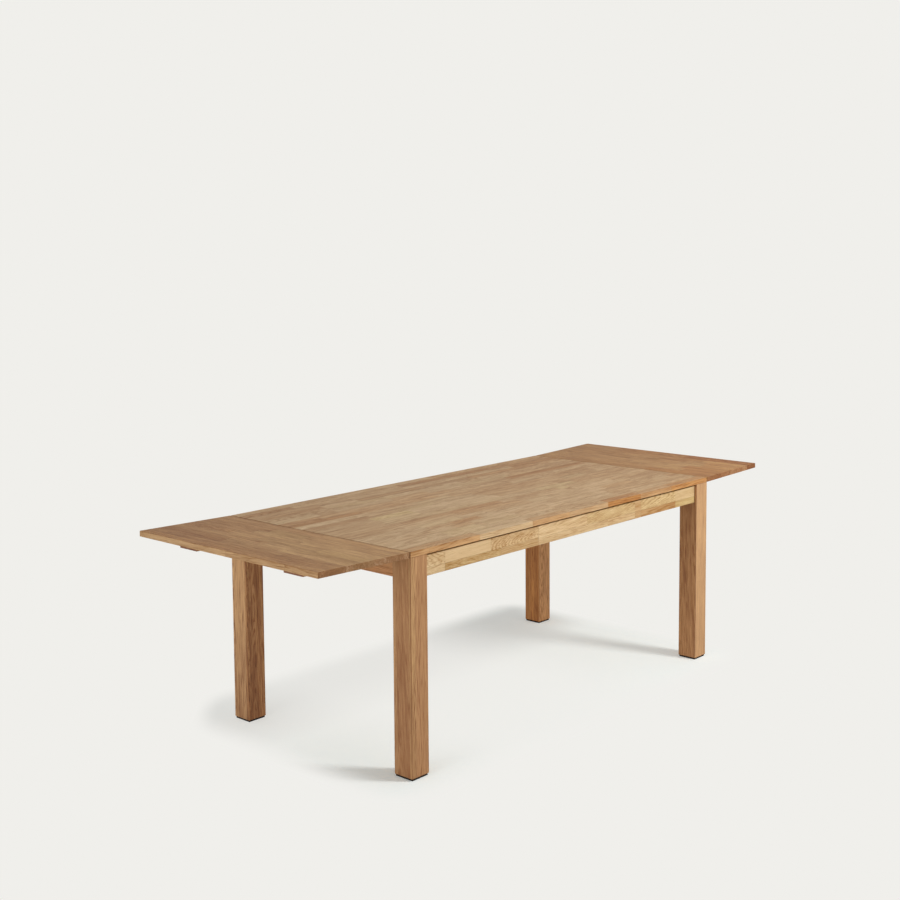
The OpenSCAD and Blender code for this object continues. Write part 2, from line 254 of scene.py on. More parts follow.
def oak(name, pale, deep, ring=2.4 * MM, figure=1.0, patch=1.0, flecks=0.6, gloss=0.55):
    """Oiled oak.

    Each face carries its stave's pith, grain direction, tone, warmth, darkening, size, drift and
    figure.
    Ring is the width of a year, figure and flecks how strongly rings and dark flecks show, patch how
    blotchy a stave is, and gloss its roughness.
    """
    s = Shader(name)
    place = s.node("ShaderNodeTexCoord").outputs["Object"]
    grain = s.attribute("grain")
    offset = s.vector("SUBTRACT", place, s.attribute("pith"))
    along = s.vector("DOT_PRODUCT", offset, grain)
    across = s.vector("SUBTRACT", offset, s.vector("SCALE", grain, Scale=along))
    radius = s.vector("LENGTH", across)
    tone, warmth, darkening = s.split(s.attribute("stave"))
    end = darkening.most(0.0).least(1.0)
    lively = Value(s, s.node("ShaderNodeAttribute", {"attribute_name": "figure"}).outputs["Fac"])

    def stretched(scale, length_scale):
        """Wood coordinates, drawn out along the grain."""
        drawn = s.vector("SCALE", grain, Scale=along * length_scale)
        return s.vector("ADD", s.vector("SCALE", across, Scale=scale), drawn)

    # growth rings round the pith, wavering along the stave, with good years and bad
    waver = s.noise(stretched(20.0, 4.5), detail=3.0) - 0.5
    ripple = s.noise(stretched(75.0, 11.0), detail=2.0) - 0.5
    rings = (radius + waver * (13 * MM) + ripple * (2.2 * MM)) / ring
    phase = rings.fraction()
    early = phase.ramp(0.0, 0.06) * (1 - phase.ramp(0.12, 0.60))
    late = phase.ramp(0.62, 0.98)
    year = s.noise(s.vector("SCALE", grain, Scale=rings * 0.37), detail=1.0) - 0.5

    # fibres, streaks, mottled patches and open pores
    fibre = s.noise(stretched(820.0, 14.0), detail=3.0, roughness=0.6) - 0.5
    streak = s.noise(stretched(150.0, 5.0), detail=4.0, roughness=0.75) - 0.5
    mottle = s.noise(stretched(34.0, 5.0), detail=3.0, roughness=0.55) - 0.5
    fleck = s.noise(stretched(400.0, 12.0), detail=2.0).ramp(0.53, 0.70)
    pores = s.noise(stretched(2300.0, 95.0), detail=1.0).ramp(0.60, 0.72) * (0.3 + early * 0.7)

    # rays: thin radial sheets, seen as flecks on quartered faces and as lines in the end grain
    side = s.vector("CROSS_PRODUCT", grain, (0.58, 0.58, 0.57))
    other = s.vector("CROSS_PRODUCT", grain, side)
    rise = s.vector("DOT_PRODUCT", across, side)
    turn = rise.maths("ARCTAN2", s.vector("DOT_PRODUCT", across, other))
    sheet = s.node("ShaderNodeCombineXYZ", None, X=radius * 55.0, Y=turn * 42.0, Z=along * 28.0)
    rays = s.noise(sheet.outputs[0], detail=1.0).ramp(0.60, 0.68)

    # glue lines between staves
    u, v, _ = s.split(s.node("ShaderNodeUVMap", {"uv_map": "staves"}).outputs["UV"])
    width, length, drift = s.split(s.attribute("size"))
    edge = u.least(width - u).least(v.least(length - v))
    glue = 1 - edge.ramp(0.10 * MM, 0.50 * MM)

    depth = (
        USUAL_DEPTH
        - (tone + drift * (v / length - 0.5)) * TONE_DEPTH
        + (early * 0.28 + late * 0.08 - 0.08 + year * 0.55) * figure * lively
        + streak * (0.4 + lively * 0.9)
        + mottle * (0.3 + lively * 0.6) * patch
        + (fleck - 0.10) * flecks * lively
        + fibre * 0.9
        - rays * 0.08
        # darker end grain and eased edges; on the aprons' top faces and, partly, the top's ends at the
        # seams it is painted shade in a gap
        + darkening.maths("ABSOLUTE") * DARKENING_DEPTH
    )
    colour = s.mix(depth.most(0.0).least(1.0), rgba(pale), rgba(deep))
    colour = s.vector("SCALE", colour, Scale=1 - (depth - 1).most(0.0) * OVER_DEPTH)
    red = s.vector("SCALE", RED, Scale=warmth.most(0.0))
    yellow = s.vector("SCALE", YELLOW, Scale=(warmth * -1).most(0.0))
    ashen = s.vector("SCALE", ASHEN, Scale=end)
    tint = s.vector("ADD", s.vector("ADD", (1.0, 1.0, 1.0), ashen), s.vector("ADD", red, yellow))
    tinted = s.vector("MULTIPLY", colour, tint)
    dark = s.mix((pores * 0.45 + glue * 0.60).least(1.0), tinted, PORE_COLOUR)

    height = fibre * 0.5 - early * 0.25 - pores * 0.9 - glue * 0.8
    rough = gloss + fibre * 0.15 + pores * 0.2 + early * 0.05 + end * 0.10
    return s.surface(
        Base_Color=dark,
        Roughness=rough.most(0.2).least(0.95),
        Specular_IOR_Level=0.25,
        Normal=s.bump(height, 0.12 * MM, 0.35),
    )


def zinc_steel(name, colour):
    """Bright zinc plate, a little mottled, with fine drawn lines."""
    s = Shader(name)
    place = s.node("ShaderNodeTexCoord").outputs["Object"]
    mottle = s.noise(place, 260.0, 3.0)
    drawn = s.noise(place, 2400.0, 2.0)
    rough = 0.28 + mottle * 0.16 + (drawn - 0.5) * 0.12
    return s.surface(
        Base_Color=s.mix(mottle.ramp(0.35, 0.65), rgba(colour), rgba(colour, (1.06, 1.02, 0.88))),
        Metallic=1.0,
        Roughness=rough,
        Normal=s.bump(drawn, 0.02 * MM, 0.3),
    )


def moulded_pad(name, colour):
    """Black moulded pad with a matt, slightly pebbled skin."""
    s = Shader(name)
    place = s.node("ShaderNodeTexCoord").outputs["Object"]
    pebble = s.noise(place, 1300.0, 2.0)
    worn = s.noise(place, 60.0, 3.0)
    greyed = rgba([c * 2.2 + 0.004 for c in colour])
    return s.surface(
        Base_Color=s.mix(worn.ramp(0.45, 0.75) * 0.5, rgba(colour), greyed),
        Roughness=0.80 + (worn - 0.5) * 0.2,
        Specular_IOR_Level=0.12,
        Normal=s.bump(pebble, 0.06 * MM, 0.4),
    )


# the colours of each wooden slot and what sets its grain apart
WOODS = {
    "oak_top": ("top", {}),
    "oak_leaf": ("leaf", {"flecks": 0.7}),
    "oak_leg": ("leg", {"figure": 1.3, "patch": 0.8}),
    "oak_bearer": ("leg", {"figure": 1.3, "patch": 0.8}),
    "oak_apron": ("apron", {"ring": 3.2 * MM, "figure": 1.5, "patch": 0.8}),
    "oak_end_apron": ("end", {"ring": 3.0 * MM, "figure": 1.3, "patch": 1.2}),
    "inner_wood": ("inner", {"gloss": 0.62}),
    "dowel_beech": ("beech", {"ring": 1.6 * MM, "figure": 0.4, "gloss": 0.6}),
}


def finish_for(slot):
    """The finish of one material slot, made the first time it is asked for."""
    name = f"{slot}_finish"
    ready = bpy.data.materials.get(name)
    if ready:
        return ready
    colours = bpy.context.scene.table_colours
    if slot in WOODS:
        wood, grain = WOODS[slot]
        return oak(name, getattr(colours, f"{wood}_pale"), getattr(colours, f"{wood}_deep"), **grain)
    if slot == "zinc_steel":
        return zinc_steel(name, colours.zinc)
    if slot == "black_pad":
        return moulded_pad(name, colours.pad)
    raise ValueError(f"no finish for slot {slot}")


# ---------------------------------------------------------------- staves

# how staves are sawn: how far round and how far off in mm the pith lies, and how they lean and differ
PITH_TURN = math.radians(75)
PITH_REACH = (18, 95)
SIDE_LEAN = 0.012
WARMTH_SPREAD = 0.45
DRIFT_SPREAD = 0.2
# how square a face stands to an axis to count as turned that way, and as not eased
SQUARE_ON = 0.8
FLAT = 0.97


class Stave(NamedTuple):
    """One stave: where its rings centre, how it lies and how it looks"""

    pith: Vector
    lean: Vector
    tone: float
    warmth: float
    corner: tuple
    size: tuple
    figure: float


class EdgeLook(NamedTuple):
    """How a board's long edges differ from its faces in tone and warmth, and how much darker they are
    """

    tone_gain: float = 1.0
    tone_shift: float = 0.0
    warmth_gain: float = 1.0
    darkening: float = 0.0


class Staves:
    """How a board is glued up: rows across it, cut into staves along the grain, in layers through it

    Rows are pairs of where a row starts and where it is cut, and layers the joints through the board.
    Tones holds the staves given one by one, by row and piece, or by row, piece and layer. A pick is in
    percent: tone (100 is pale), warmth (100 is red, -100 yellow), drift (how much paler it grows along
    its length), slope of the grain through the board, and figure (how strong the grain is). The seed
    gives the rest. Spread is how much tones differ, darkening how dark the eased edges are and ends how
    dark the end grain.
    """

    def __init__(
        self, low, high, grain, across, rows, layers=(), seed=0, tones=None, spread=0.5,
        slope=0.03, darkening=0.2, figure=1.0, edge=EdgeLook(), ends=1.0,
    ):
        self.low, self.high = low, high
        self.grain, self.across = grain, across
        self.depth = 3 - grain - across
        self.rows = rows
        self.row_edges = [*(start for start, _ in rows), high[across]]
        self.layers = [low[self.depth], *layers, high[self.depth]]
        self.seed, self.tones = seed, tones or {}
        self.spread, self.slope, self.figure = spread, slope, figure
        self.darkening, self.edge, self.ends = darkening, edge, ends
        self.made = {}

    @staticmethod
    def find(edges, value):
        """Which of the spans between edges holds the value."""
        inside = [i for i in range(len(edges) - 1) if value >= edges[i]]
        return inside[-1] if inside else 0

    def cuts(self, row):
        return [self.low[self.grain], *self.rows[row][1], self.high[self.grain]]

    def key(self, point):
        """Row, piece and layer of the stave at a point."""
        row = self.find(self.row_edges, point[self.across])
        piece = self.find(self.cuts(row), point[self.grain])
        return row, piece, self.find(self.layers, point[self.depth])

    def stave(self, key):
        if key not in self.made:
            self.made[key] = self.grow(key)
        return self.made[key]

    def grow(self, key):
        """A stave sawn from its own place in a log, with what is listed for it."""
        row, piece, layer = key
        pick = random.Random(f"{self.seed} {row} {piece} {layer}")
        side, far_side = self.row_edges[row], self.row_edges[row + 1]
        start, stop = self.cuts(row)[piece:piece + 2]
        middle = Vector()
        middle[self.across] = (side + far_side) / 2
        middle[self.depth] = (self.layers[layer] + self.layers[layer + 1]) / 2
        middle[self.grain] = start + (stop - start) * pick.random()
        turn = pick.uniform(-PITH_TURN, PITH_TURN) + math.pi * pick.randint(0, 1)
        reach = pick.uniform(*PITH_REACH) * MM
        pith = middle.copy()
        pith[self.across] += math.sin(turn) * reach
        pith[self.depth] += math.cos(turn) * reach
        lean = Vector()
        lean[self.grain] = 1
        lean[self.across] = pick.gauss(0, SIDE_LEAN)
        lean[self.depth] = pick.gauss(0, self.slope)
        tone = max(-1, min(1, pick.gauss(0, self.spread)))
        warmth = max(-1, min(1, pick.gauss(0, WARMTH_SPREAD)))
        picked = [percent / 100 for percent in self.tones.get(key) or self.tones.get(key[:2]) or ()]
        picked = picked or (tone, warmth, pick.gauss(0, DRIFT_SPREAD))
        usual = (tone, warmth, 0.0, lean[self.depth], self.figure)
        tone, warmth, drift, lean[self.depth], figure = (*picked, *usual[len(picked):])
        size = (far_side - side, stop - start, drift)
        return Stave(pith, lean.normalized(), tone, warmth, (side, start), size, figure)

    def split(self, bm):
        """Cuts a mesh along every glue line."""
        for side in self.row_edges[1:-1]:
            slice_mesh(bm, bm.faces, self.across, side)
        for depth in self.layers[1:-1]:
            slice_mesh(bm, bm.faces, self.depth, depth)
        for row, (_, cuts) in enumerate(self.rows):
            for cut in cuts:
                within = faces_between(bm, self.across, *self.row_edges[row:row + 2])
                slice_mesh(bm, within, self.grain, cut)

    def paint(self, bm):
        """Gives every face what the oak shader needs to know of its stave.

        Darkening is 1 on plain end grain, which also greys it. Below 0 it darkens without the grey.
        """
        vectors = bm.faces.layers.float_vector
        pith_layer, grain_layer = vectors.new("pith"), vectors.new("grain")
        stave_layer, size_layer = vectors.new("stave"), vectors.new("size")
        figure_layer = bm.faces.layers.float.new("figure")
        uv_layer = bm.loops.layers.uv.new("staves")
        bm.normal_update()
        for face in bm.faces:
            stave = self.stave(self.key(face.calc_center_median()))
            tone, warmth, size = stave.tone, stave.warmth, stave.size
            end = abs(face.normal[self.grain]) > SQUARE_ON
            beside = abs(face.normal[self.across]) > SQUARE_ON
            flat = max(abs(n) for n in face.normal) > FLAT
            if beside:
                tone = tone * self.edge.tone_gain + self.edge.tone_shift
                warmth = warmth * self.edge.warmth_gain
            if end:
                darkening = self.ends
            elif not flat:
                darkening = -self.darkening
            else:
                darkening = self.edge.darkening if beside else 0.0
            face[pith_layer] = stave.pith
            face[grain_layer] = stave.lean
            face[stave_layer] = (tone, warmth, darkening)
            face[size_layer] = size
            face[figure_layer] = stave.figure
            for loop in face.loops:
                u = size[0] / 2 if beside else loop.vert.co[self.across] - stave.corner[0]
                v = size[1] / 2 if end else loop.vert.co[self.grain] - stave.corner[1]
                loop[uv_layer].uv = (u, v)

    def lean_over(self, bm, basis):
        """Turns the painted vectors with the board."""
        for name in ("pith", "grain"):
            layer = bm.faces.layers.float_vector[name]
            for face in bm.faces:
                face[layer] = basis @ face[layer]


def picked_rows(starts, picked):
    """Rows and tones from picked staves: where each ends in mm, then what Staves says of a pick."""
    rows = [(start, [stave[0] * MM for stave in row[:-1]]) for start, row in zip(starts, picked)]
    tones = {(i, j): stave[1:] for i, row in enumerate(picked) for j, stave in enumerate(row)}
    return rows, tones


# ---------------------------------------------------------------- mesh building

def along_axis(axis, length=1):
    vector = Vector()
    vector[axis] = length
    return vector


def slice_mesh(bm, faces, axis, place):
    """Cuts faces with the plane across an axis at that place."""
    faces = list(faces)
    edges = dict.fromkeys(e for f in faces for e in f.edges)
    verts = dict.fromkeys(v for f in faces for v in f.verts)
    bmesh.ops.bisect_plane(
        bm, geom=[*verts, *edges, *faces], dist=ON_CUT,
        plane_co=along_axis(axis, place), plane_no=along_axis(axis),
    )


def faces_between(bm, axis, low, high):
    """Faces whose middle lies between two places along an axis, the places themselves counted in."""
    return [f for f in bm.faces if low - TOUCH <= f.calc_center_median()[axis] <= high + TOUCH]


def ease(bm, edges, width, segments=2):
    """Rounds edges over."""
    bmesh.ops.bevel(
        bm, geom=list(edges), offset=width, segments=segments, profile=0.5, affect="EDGES",
        material=-1, clamp_overlap=True,
    )


def sharp_edges(bm):
    """Edges where two faces meet at more than 30 degrees."""
    sharp = math.radians(30)
    return [e for e in bm.edges if len(e.link_faces) == 2 and e.calc_face_angle() > sharp]


def welded(node):
    """A copy of a CAD node's mesh with its doubles merged."""
    bm = bmesh.new()
    bm.from_mesh(frame["nodes"][node].data)
    bmesh.ops.remove_doubles(bm, verts=bm.verts, dist=WELD)
    return bm


def solid_copy(node, basis):
    """A CAD solid as a clean mesh, turned into a board's own axes."""
    bm = welded(node)
    bmesh.ops.transform(bm, matrix=basis.transposed().to_4x4(), verts=bm.verts)
    bmesh.ops.dissolve_limit(bm, angle_limit=math.radians(1), verts=bm.verts, edges=bm.edges)
    return bm


def span(node, basis):
    """Lowest and highest corner of a CAD node, in a board's own axes."""
    points = [basis.transposed() @ v.co for v in frame["nodes"][node].data.vertices]
    low = Vector([min(p[i] for p in points) for i in range(3)])
    high = Vector([max(p[i] for p in points) for i in range(3)])
    return low, high


def leaf_basis(side):
    """Axes of a leaf and its bearers: x along their slight incline, still towards the right."""
    joint = next(j for j in frame["joints"] if j["child"] == f"{side}_leaf")
    along = Vector(joint["axis"]).normalized() * (-1 if side == "left" else 1)
    across = along_axis(Y)
    return Matrix((along, across, along.cross(across))).transposed()


def mesh_from(bm, name):
    """Keeps a bmesh as a mesh and frees it."""
    mesh = bpy.data.meshes.new(name)
    bm.to_mesh(mesh)
    bm.free()
    return mesh


def put_in_scene(name, data):
    """Makes the object of a mesh, a lamp or a camera."""
    thing = bpy.data.objects.new(name, data)
    bpy.context.scene.collection.objects.link(thing)
    return thing


def add_piece(bm, name, body, slot, node, basis=UPRIGHT):
    """Makes the object, rides it on its body and hides the CAD node it stands for."""
    bmesh.ops.transform(bm, matrix=basis.to_4x4(), verts=bm.verts)
    piece = put_in_scene(name, mesh_from(bm, name))
    piece.data.materials.append(finish_for(slot))
    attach(piece, body)
    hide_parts(node)


def add_board(bm, staves, name, body, slot, node, basis=UPRIGHT):
    """A wooden piece: cut into staves, painted, then placed."""
    staves.split(bm)
    staves.paint(bm)
    staves.lean_over(bm, basis)
    add_piece(bm, name, body, slot, node, basis)


def loose_solids(node):
    """The separate solids of a CAD node, each as a list of its points."""
    bm = welded(node)
    left = dict.fromkeys(bm.verts)
    solids = []
    while left:
        group = [left.popitem()[0]]
        for vert in group:
            for edge in vert.link_edges:
                other = edge.other_vert(vert)
                if other in left:
                    del left[other]
                    group.append(other)
        solids.append([v.co.copy() for v in group])
    bm.free()
    return solids


def long_axis(points):
    """Middle, direction and half length of a turned part."""
    middle = sum(points, Vector()) / len(points)
    spread = np.array([p - middle for p in points])
    direction = Vector(np.linalg.eigh(spread.T @ spread)[1][:, -1])
    reach = [direction.dot(p - middle) for p in points]
    middle += direction * (max(reach) + min(reach)) / 2
    return middle, direction, (max(reach) - min(reach)) / 2


def radius_at(points, middle, direction, end):
    """Radius of a turned part at its end along direction times end."""
    offsets = [p - middle for p in points]
    last = max(direction.dot(o) * end for o in offsets)
    near = [o for o in offsets if direction.dot(o) * end > last - 10 * TOUCH]
    return max((o - direction * direction.dot(o)).length for o in near)


def place_along(bm, verts, middle, direction):
    """Turns a part made along +Z so that it runs along direction, with its origin at middle."""
    turn = along_axis(Z).rotation_difference(direction).to_matrix().to_4x4()
    bmesh.ops.transform(bm, matrix=Matrix.Translation(middle) @ turn, verts=verts)


def turned_bar(bm, radius, low, high, segments=24):
    """A round bar along Z between two heights. Returns its verts."""
    made = bmesh.ops.create_cone(
        bm, cap_ends=True, segments=segments, radius1=radius, radius2=radius, depth=high - low
    )["verts"]
    bmesh.ops.translate(bm, vec=(0, 0, (low + high) / 2), verts=made)
    return made


def join_meshes(bm, part):
    """Adds a part's mesh to another and frees it."""
    mesh = mesh_from(part, "part")
    bm.from_mesh(mesh)
    bpy.data.meshes.remove(mesh)


# ---------------------------------------------------------------- hardware

HEAD_HEIGHT = 2.2 * MM
HEAD_DOME = 0.9 * MM
RECESS_DEPTH = 1.3 * MM
# reach and half width of the cross recess, as shares of the head's radius
RECESS_REACH = 0.52
RECESS_HALF = 0.13
THREAD_PITCH = 1.25 * MM
THREAD_DEPTH = 0.6 * MM
THREAD_SIDES = 20
DOWEL_SIDES = 36
DOWEL_CHAMFER = 0.8 * MM
FLUTE_DEPTH = 0.04
# how wide the edges of the pressed parts are eased
PRESSED_EDGES = {"hanger_washers": 0.3 * MM, "hanger_nuts": 0.7 * MM, "top_brackets": 0.5 * MM}
PAD_EDGE = 0.7 * MM


def add_screw(bm, points):
    """A screw with a domed head and a cross recess, over one CAD screw."""
    middle, direction, half = long_axis(points)
    if radius_at(points, middle, direction, 1) < radius_at(points, middle, direction, -1):
        direction = -direction
    head = radius_at(points, middle, direction, 1)
    shank = radius_at(points, middle, direction, -1)
    crown = half - TOUCH
    part = bmesh.new()
    turned_bar(part, head, half - HEAD_HEIGHT, half)
    ease(part, [e for e in part.edges if all(v.co.z > crown for v in e.verts)], HEAD_DOME, 3)
    arm, arm_side = head * RECESS_REACH, head * RECESS_HALF
    for axis in (X, Y):
        for place in (-arm, -arm_side, arm_side, arm):
            slice_mesh(part, [f for f in part.faces if f.calc_center_median().z > crown], axis, place)
    cross = []
    for face in part.faces:
        centre = face.calc_center_median()
        wide, narrow = sorted((abs(centre.x), abs(centre.y)), reverse=True)
        if centre.z > crown and wide < arm and narrow < arm_side:
            cross.append(face)
    sunk = bmesh.ops.extrude_face_region(part, geom=cross)["geom"]
    bmesh.ops.delete(part, geom=cross, context="FACES_ONLY")
    bottom = [v for v in sunk if isinstance(v, bmesh.types.BMVert)]
    bmesh.ops.translate(part, vec=(0, 0, -RECESS_DEPTH), verts=bottom)
    turned_bar(part, shank, -half, half - HEAD_HEIGHT)
    place_along(part, part.verts, middle, direction)
    join_meshes(bm, part)


def add_stud(bm, points):
    """A hanger bolt: a threaded bar over one CAD bolt."""
    middle, direction, half = long_axis(points)
    radius = radius_at(points, middle, direction, 1)
    root = radius - THREAD_DEPTH
    profile = [(0, -half), (root, -half)]
    for tooth in range(int(2 * half / THREAD_PITCH)):
        low = -half + THREAD_PITCH * (tooth + 0.25)
        profile += [(root, low), (radius, low + THREAD_PITCH / 2)]
    profile += [(root, half), (0, half)]
    part = bmesh.new()
    verts = [part.verts.new((r, 0, z)) for r, z in profile]
    edges = [part.edges.new(pair) for pair in zip(verts[:-1], verts[1:])]
    bmesh.ops.spin(
        part, geom=[*verts, *edges], axis=along_axis(Z), cent=(0, 0, 0), angle=math.tau,
        steps=THREAD_SIDES, use_merge=True,
    )
    bmesh.ops.remove_doubles(part, verts=part.verts, dist=WELD)
    bmesh.ops.recalc_face_normals(part, faces=part.faces)
    place_along(part, part.verts, middle, direction)
    join_meshes(bm, part)


def add_dowel(bm, points):
    """A fluted dowel with chamfered ends, over one CAD dowel."""
    middle, direction, half = long_axis(points)
    radius = radius_at(points, middle, direction, 1)
    part = bmesh.new()
    turned_bar(part, radius, -half, half, segments=DOWEL_SIDES)
    rims = [e for e in part.edges if abs(e.verts[0].co.z - e.verts[1].co.z) < TOUCH]
    ease(part, rims, DOWEL_CHAMFER, 1)
    for vert in part.verts:
        turn = math.atan2(vert.co.y, vert.co.x)
        flute = 1 - FLUTE_DEPTH * (round(turn * DOWEL_SIDES / math.tau) % 2)
        vert.co.x *= flute
        vert.co.y *= flute
    place_along(part, part.verts, middle, direction)
    join_meshes(bm, part)


def add_turned_group(node, body, slot, maker):
    """All the turned parts of a CAD node, as one piece."""
    bm = bmesh.new()
    for points in loose_solids(node):
        maker(bm, points)
    name = f"{node}_detailed"
    if slot == "dowel_beech":
        low, high = span(node, UPRIGHT)
        grain = Y if node == "rail_dowels" else X
        staves = Staves(low, high, grain, 1 - grain, [(low[1 - grain], [])], seed=node)
        add_board(bm, staves, name, body, slot, node)
    else:
        add_piece(bm, name, body, slot, node)


def add_pressed_part(node, body, slot, width):
    """A plate, washer, nut or pad: the CAD solid with its edges eased."""
    bm = solid_copy(node, UPRIGHT)
    ease(bm, sharp_edges(bm), width)
    add_piece(bm, f"{node}_eased", body, slot, node)


# ---------------------------------------------------------------- woodwork

SHORTEST_EASED = 14 * MM
PLAIN_ARRIS = 0.8 * MM
END_REACH = 3 * MM


def eased_solid(node, basis, width):
    """A CAD solid with its long edges eased, in a board's own axes."""
    bm = solid_copy(node, basis)
    ease(bm, [e for e in sharp_edges(bm) if e.calc_length() > SHORTEST_EASED], width)
    return bm


def add_plain_part(node, body, slot, grain, across, basis=UPRIGHT):
    """A single piece of solid wood."""
    low, high = span(node, basis)
    staves = Staves(low, high, grain, across, [(low[across], [])], seed=node, spread=0.35)
    bm = eased_solid(node, basis, PLAIN_ARRIS)
    add_board(bm, staves, f"{node}_wood", body, slot, node, basis)


def pull_in_end(bm, place, shift):
    """Moves the end of a board near a place along x, for a clear seam."""
    end = [v for v in bm.verts if abs(v.co.x - place) < END_REACH]
    bmesh.ops.translate(bm, vec=(shift, 0, 0), verts=end)


# the rows of the top from the front to the back: of each stave its end in mm, and in percent its
# tone and warmth
TOP_ROWS = (
    ((-808, -5, 80), (-555, 10, 80), (-267, 85, -10), (-49, 25, 70), (192, 30, 20), (411, -35, 160),
     (630, 20, 70), (900, 0, 150)),
    ((-640, 35, 0), (-440, 80, -30), (-200, 25, 0), (-60, 50, 0), (80, 15, 20), (450, 5, 10),
     (700, 55, 10), (900, -15, 40)),
    ((-620, 65, 0), (-440, 100, -40), (-400, 50, 20), (-230, 30, -30), (-20, 80, 20), (80, 75, 20),
     (350, 45, 0), (900, 15, 30)),
    ((-520, 50, 10), (-420, 10, 50), (-200, 40, -10), (0, 40, 20), (370, 40, 10), (700, 0, 30),
     (830, 15, 10), (900, -14, 70)),
    ((-600, 35, 0), (-480, 10, 40), (-330, -15, 90), (-100, 70, 0), (60, 60, 10), (430, 40, 10),
     (620, 26, 60), (900, 5, 20)),
    ((-600, 40, 0), (-390, 85, -30), (-250, 35, 0), (20, 30, 30), (150, 45, -10), (350, 25, 10),
     (620, 46, 20), (670, 30, 30), (900, -44, 30)),
    ((-650, -5, 20), (-350, 25, 20), (0, -5, 60), (350, 20, 20), (600, 55, 20), (900, 5, 40)),
    ((-600, -30, 30), (-340, -20, 60), (-60, -40, 90), (20, 40, 10), (300, -15, 30), (360, 75, -60),
     (900, 15, 30)),
    ((-640, 0, 20), (-200, 30, -20), (0, 30, -20), (230, 20, 0), (460, 55, -50), (720, 0, 50),
     (900, -10, 40)),
    ((-620, -5, 20), (-420, 45, -30), (-280, -10, 0), (20, 70, 0), (400, 25, 30), (620, 0, 40),
     (900, -15, 40)),
    ((-620, -30, 10), (-420, 110, -80), (0, 65, 0), (500, -10, 40), (640, -10, -20), (740, -60, 20),
     (900, -30, 30)),
    ((-590, -55, 40), (-450, 10, 20), (-250, 15, -30), (-20, 10, 0), (600, -14, 50), (760, -50, 40),
     (900, 15, 30)),
    ((-590, 70, 0), (-300, 0, 20), (-100, 5, -20), (280, -15, 40), (480, 15, 10), (640, -25, 40),
     (900, 0, 40)),
    ((-720, -100, 100), (-560, -75, 120), (-330, -25, 70), (-130, 35, 70), (-20, 15, 30),
     (200, 40, 30), (600, 0, 30), (900, 10, 20)),
    ((-720, -35, 80), (-300, 0, 50), (0, -25, 60), (350, -30, 20), (860, -99, 120), (900, -75, 80)),
    ((-690, 45, -10), (-600, -60, 20), (-300, -5, 0), (-100, 10, 50), (100, 5, 0), (400, 5, -20),
     (620, 30, 50), (900, -40, 40)),
    ((-560, -5, 10), (-230, 10, -30), (150, 20, 0), (450, 0, 20), (900, -20, 40)),
    ((-580, -45, 50), (-400, 40, 10), (-20, -80, 40), (250, -65, 20), (700, -50, 90),
     (900, -45, 70)),
    ((-560, -50, 30), (-400, -45, 10), (-100, 0, 10), (580, 15, 10), (900, -90, 110)),
    ((-660, -90, 70), (-80, -10, 20), (0, -110, 70), (480, -90, 110), (900, -65, 90)),
    ((-560, 10, 30), (-400, -35, 20), (150, 20, 20), (620, 1, 60), (900, -9, 70)),
)
# the top's faces carry a painted sheen in their colours; its long edges are painted with more contrast
# and warmth, as the oak is without that sheen
TOP_EDGE = EdgeLook(tone_gain=1.5, tone_shift=-0.1, warmth_gain=1.4)
# the top's end grain shows only in its seams with the leaves: painted darker than plain end grain,
# partly as painted shade in the seams
TOP_END_GRAIN_AND_SEAM_SHADE = 1.6


def add_fixed_top(sizes):
    """Rows of staves along the table."""
    low, high = span("table_top", UPRIGHT)
    starts = [low.y + (high.y - low.y) * i / len(TOP_ROWS) for i in range(len(TOP_ROWS))]
    rows, tones = picked_rows(starts, TOP_ROWS)
    staves = Staves(
        low, high, X, Y, rows, seed=f"top {sizes.seed}", tones=tones, edge=TOP_EDGE, ends=TOP_END_GRAIN_AND_SEAM_SHADE
    )
    bm = eased_solid("table_top", UPRIGHT, sizes.arris)
    pull_in_end(bm, low.x, sizes.seam)
    pull_in_end(bm, high.x, -sizes.seam)
    add_board(bm, staves, "fixed_top_boards", "frame", "oak_top", "table_top")


# the rows of each leaf from its left edge: the row's start in mm, then of each stave its end in mm,
# and in percent its tone, warmth and, where it has one, drift
LEAF_ROWS = {
    "left": (
        (0, (-300, -30, 60), (-15, -30, 80), (450, -75, 100, -40)),
        (35, (-150, -90, 50), (450, -95, 60, -40)),
        (75, (-190, -80, 30), (120, -45, 30), (450, -135, 80, -30)),
        (115, (-130, 63, 10), (130, -12, 20), (450, -88, 60, -30)),
        (148, (-160, -33, -30), (-20, 60, 0), (450, -20, 40, -40)),
        (186, (-230, 8, -40), (60, -22, -20), (210, -10, 30), (450, -67, 70, -20)),
        (237, (-100, 55, 10), (150, 15, 20), (450, -70, 40, -20)),
        (260, (-130, 55, 10), (160, 28, -20), (450, -80, 50, -20)),
        (290, (-50, 0, 20), (120, -12, -40), (450, -55, 50, -30)),
        (345, (-70, 10, 30), (450, -34, 40, -30)),
    ),
    "right": (
        (0, (-130, -27, 140), (450, -27, 70)),
        (60, (-280, -38, 160), (-50, 22, 50), (450, -17, 60)),
        (110, (-250, 8, 150), (20, 33, 40), (450, -20, 50)),
        (180, (-300, 35, 110), (-180, 35, 20), (60, -17, 60), (450, -38, 60)),
        (245, (-280, 5, 120), (-190, -20, 50), (-40, -55, 100), (150, -5, 50), (450, -48, 70)),
        (288, (-250, 55, 90), (-60, -30, 100), (200, -10, 90), (450, -40, 60)),
        (328, (-120, -80, 200), (240, -50, 130), (450, -40, 60)),
    ),
}
# a leaf's edges at the seam and outside are of one tone and colour, whatever the stave
LEAF_EDGE = EdgeLook(tone_gain=0.0, tone_shift=1.1, warmth_gain=0.0, darkening=0.5)
LEAF_ENDS = {"left": 0.95, "right": 0.8}
LONG_EDGE_DARKENING = 0.9


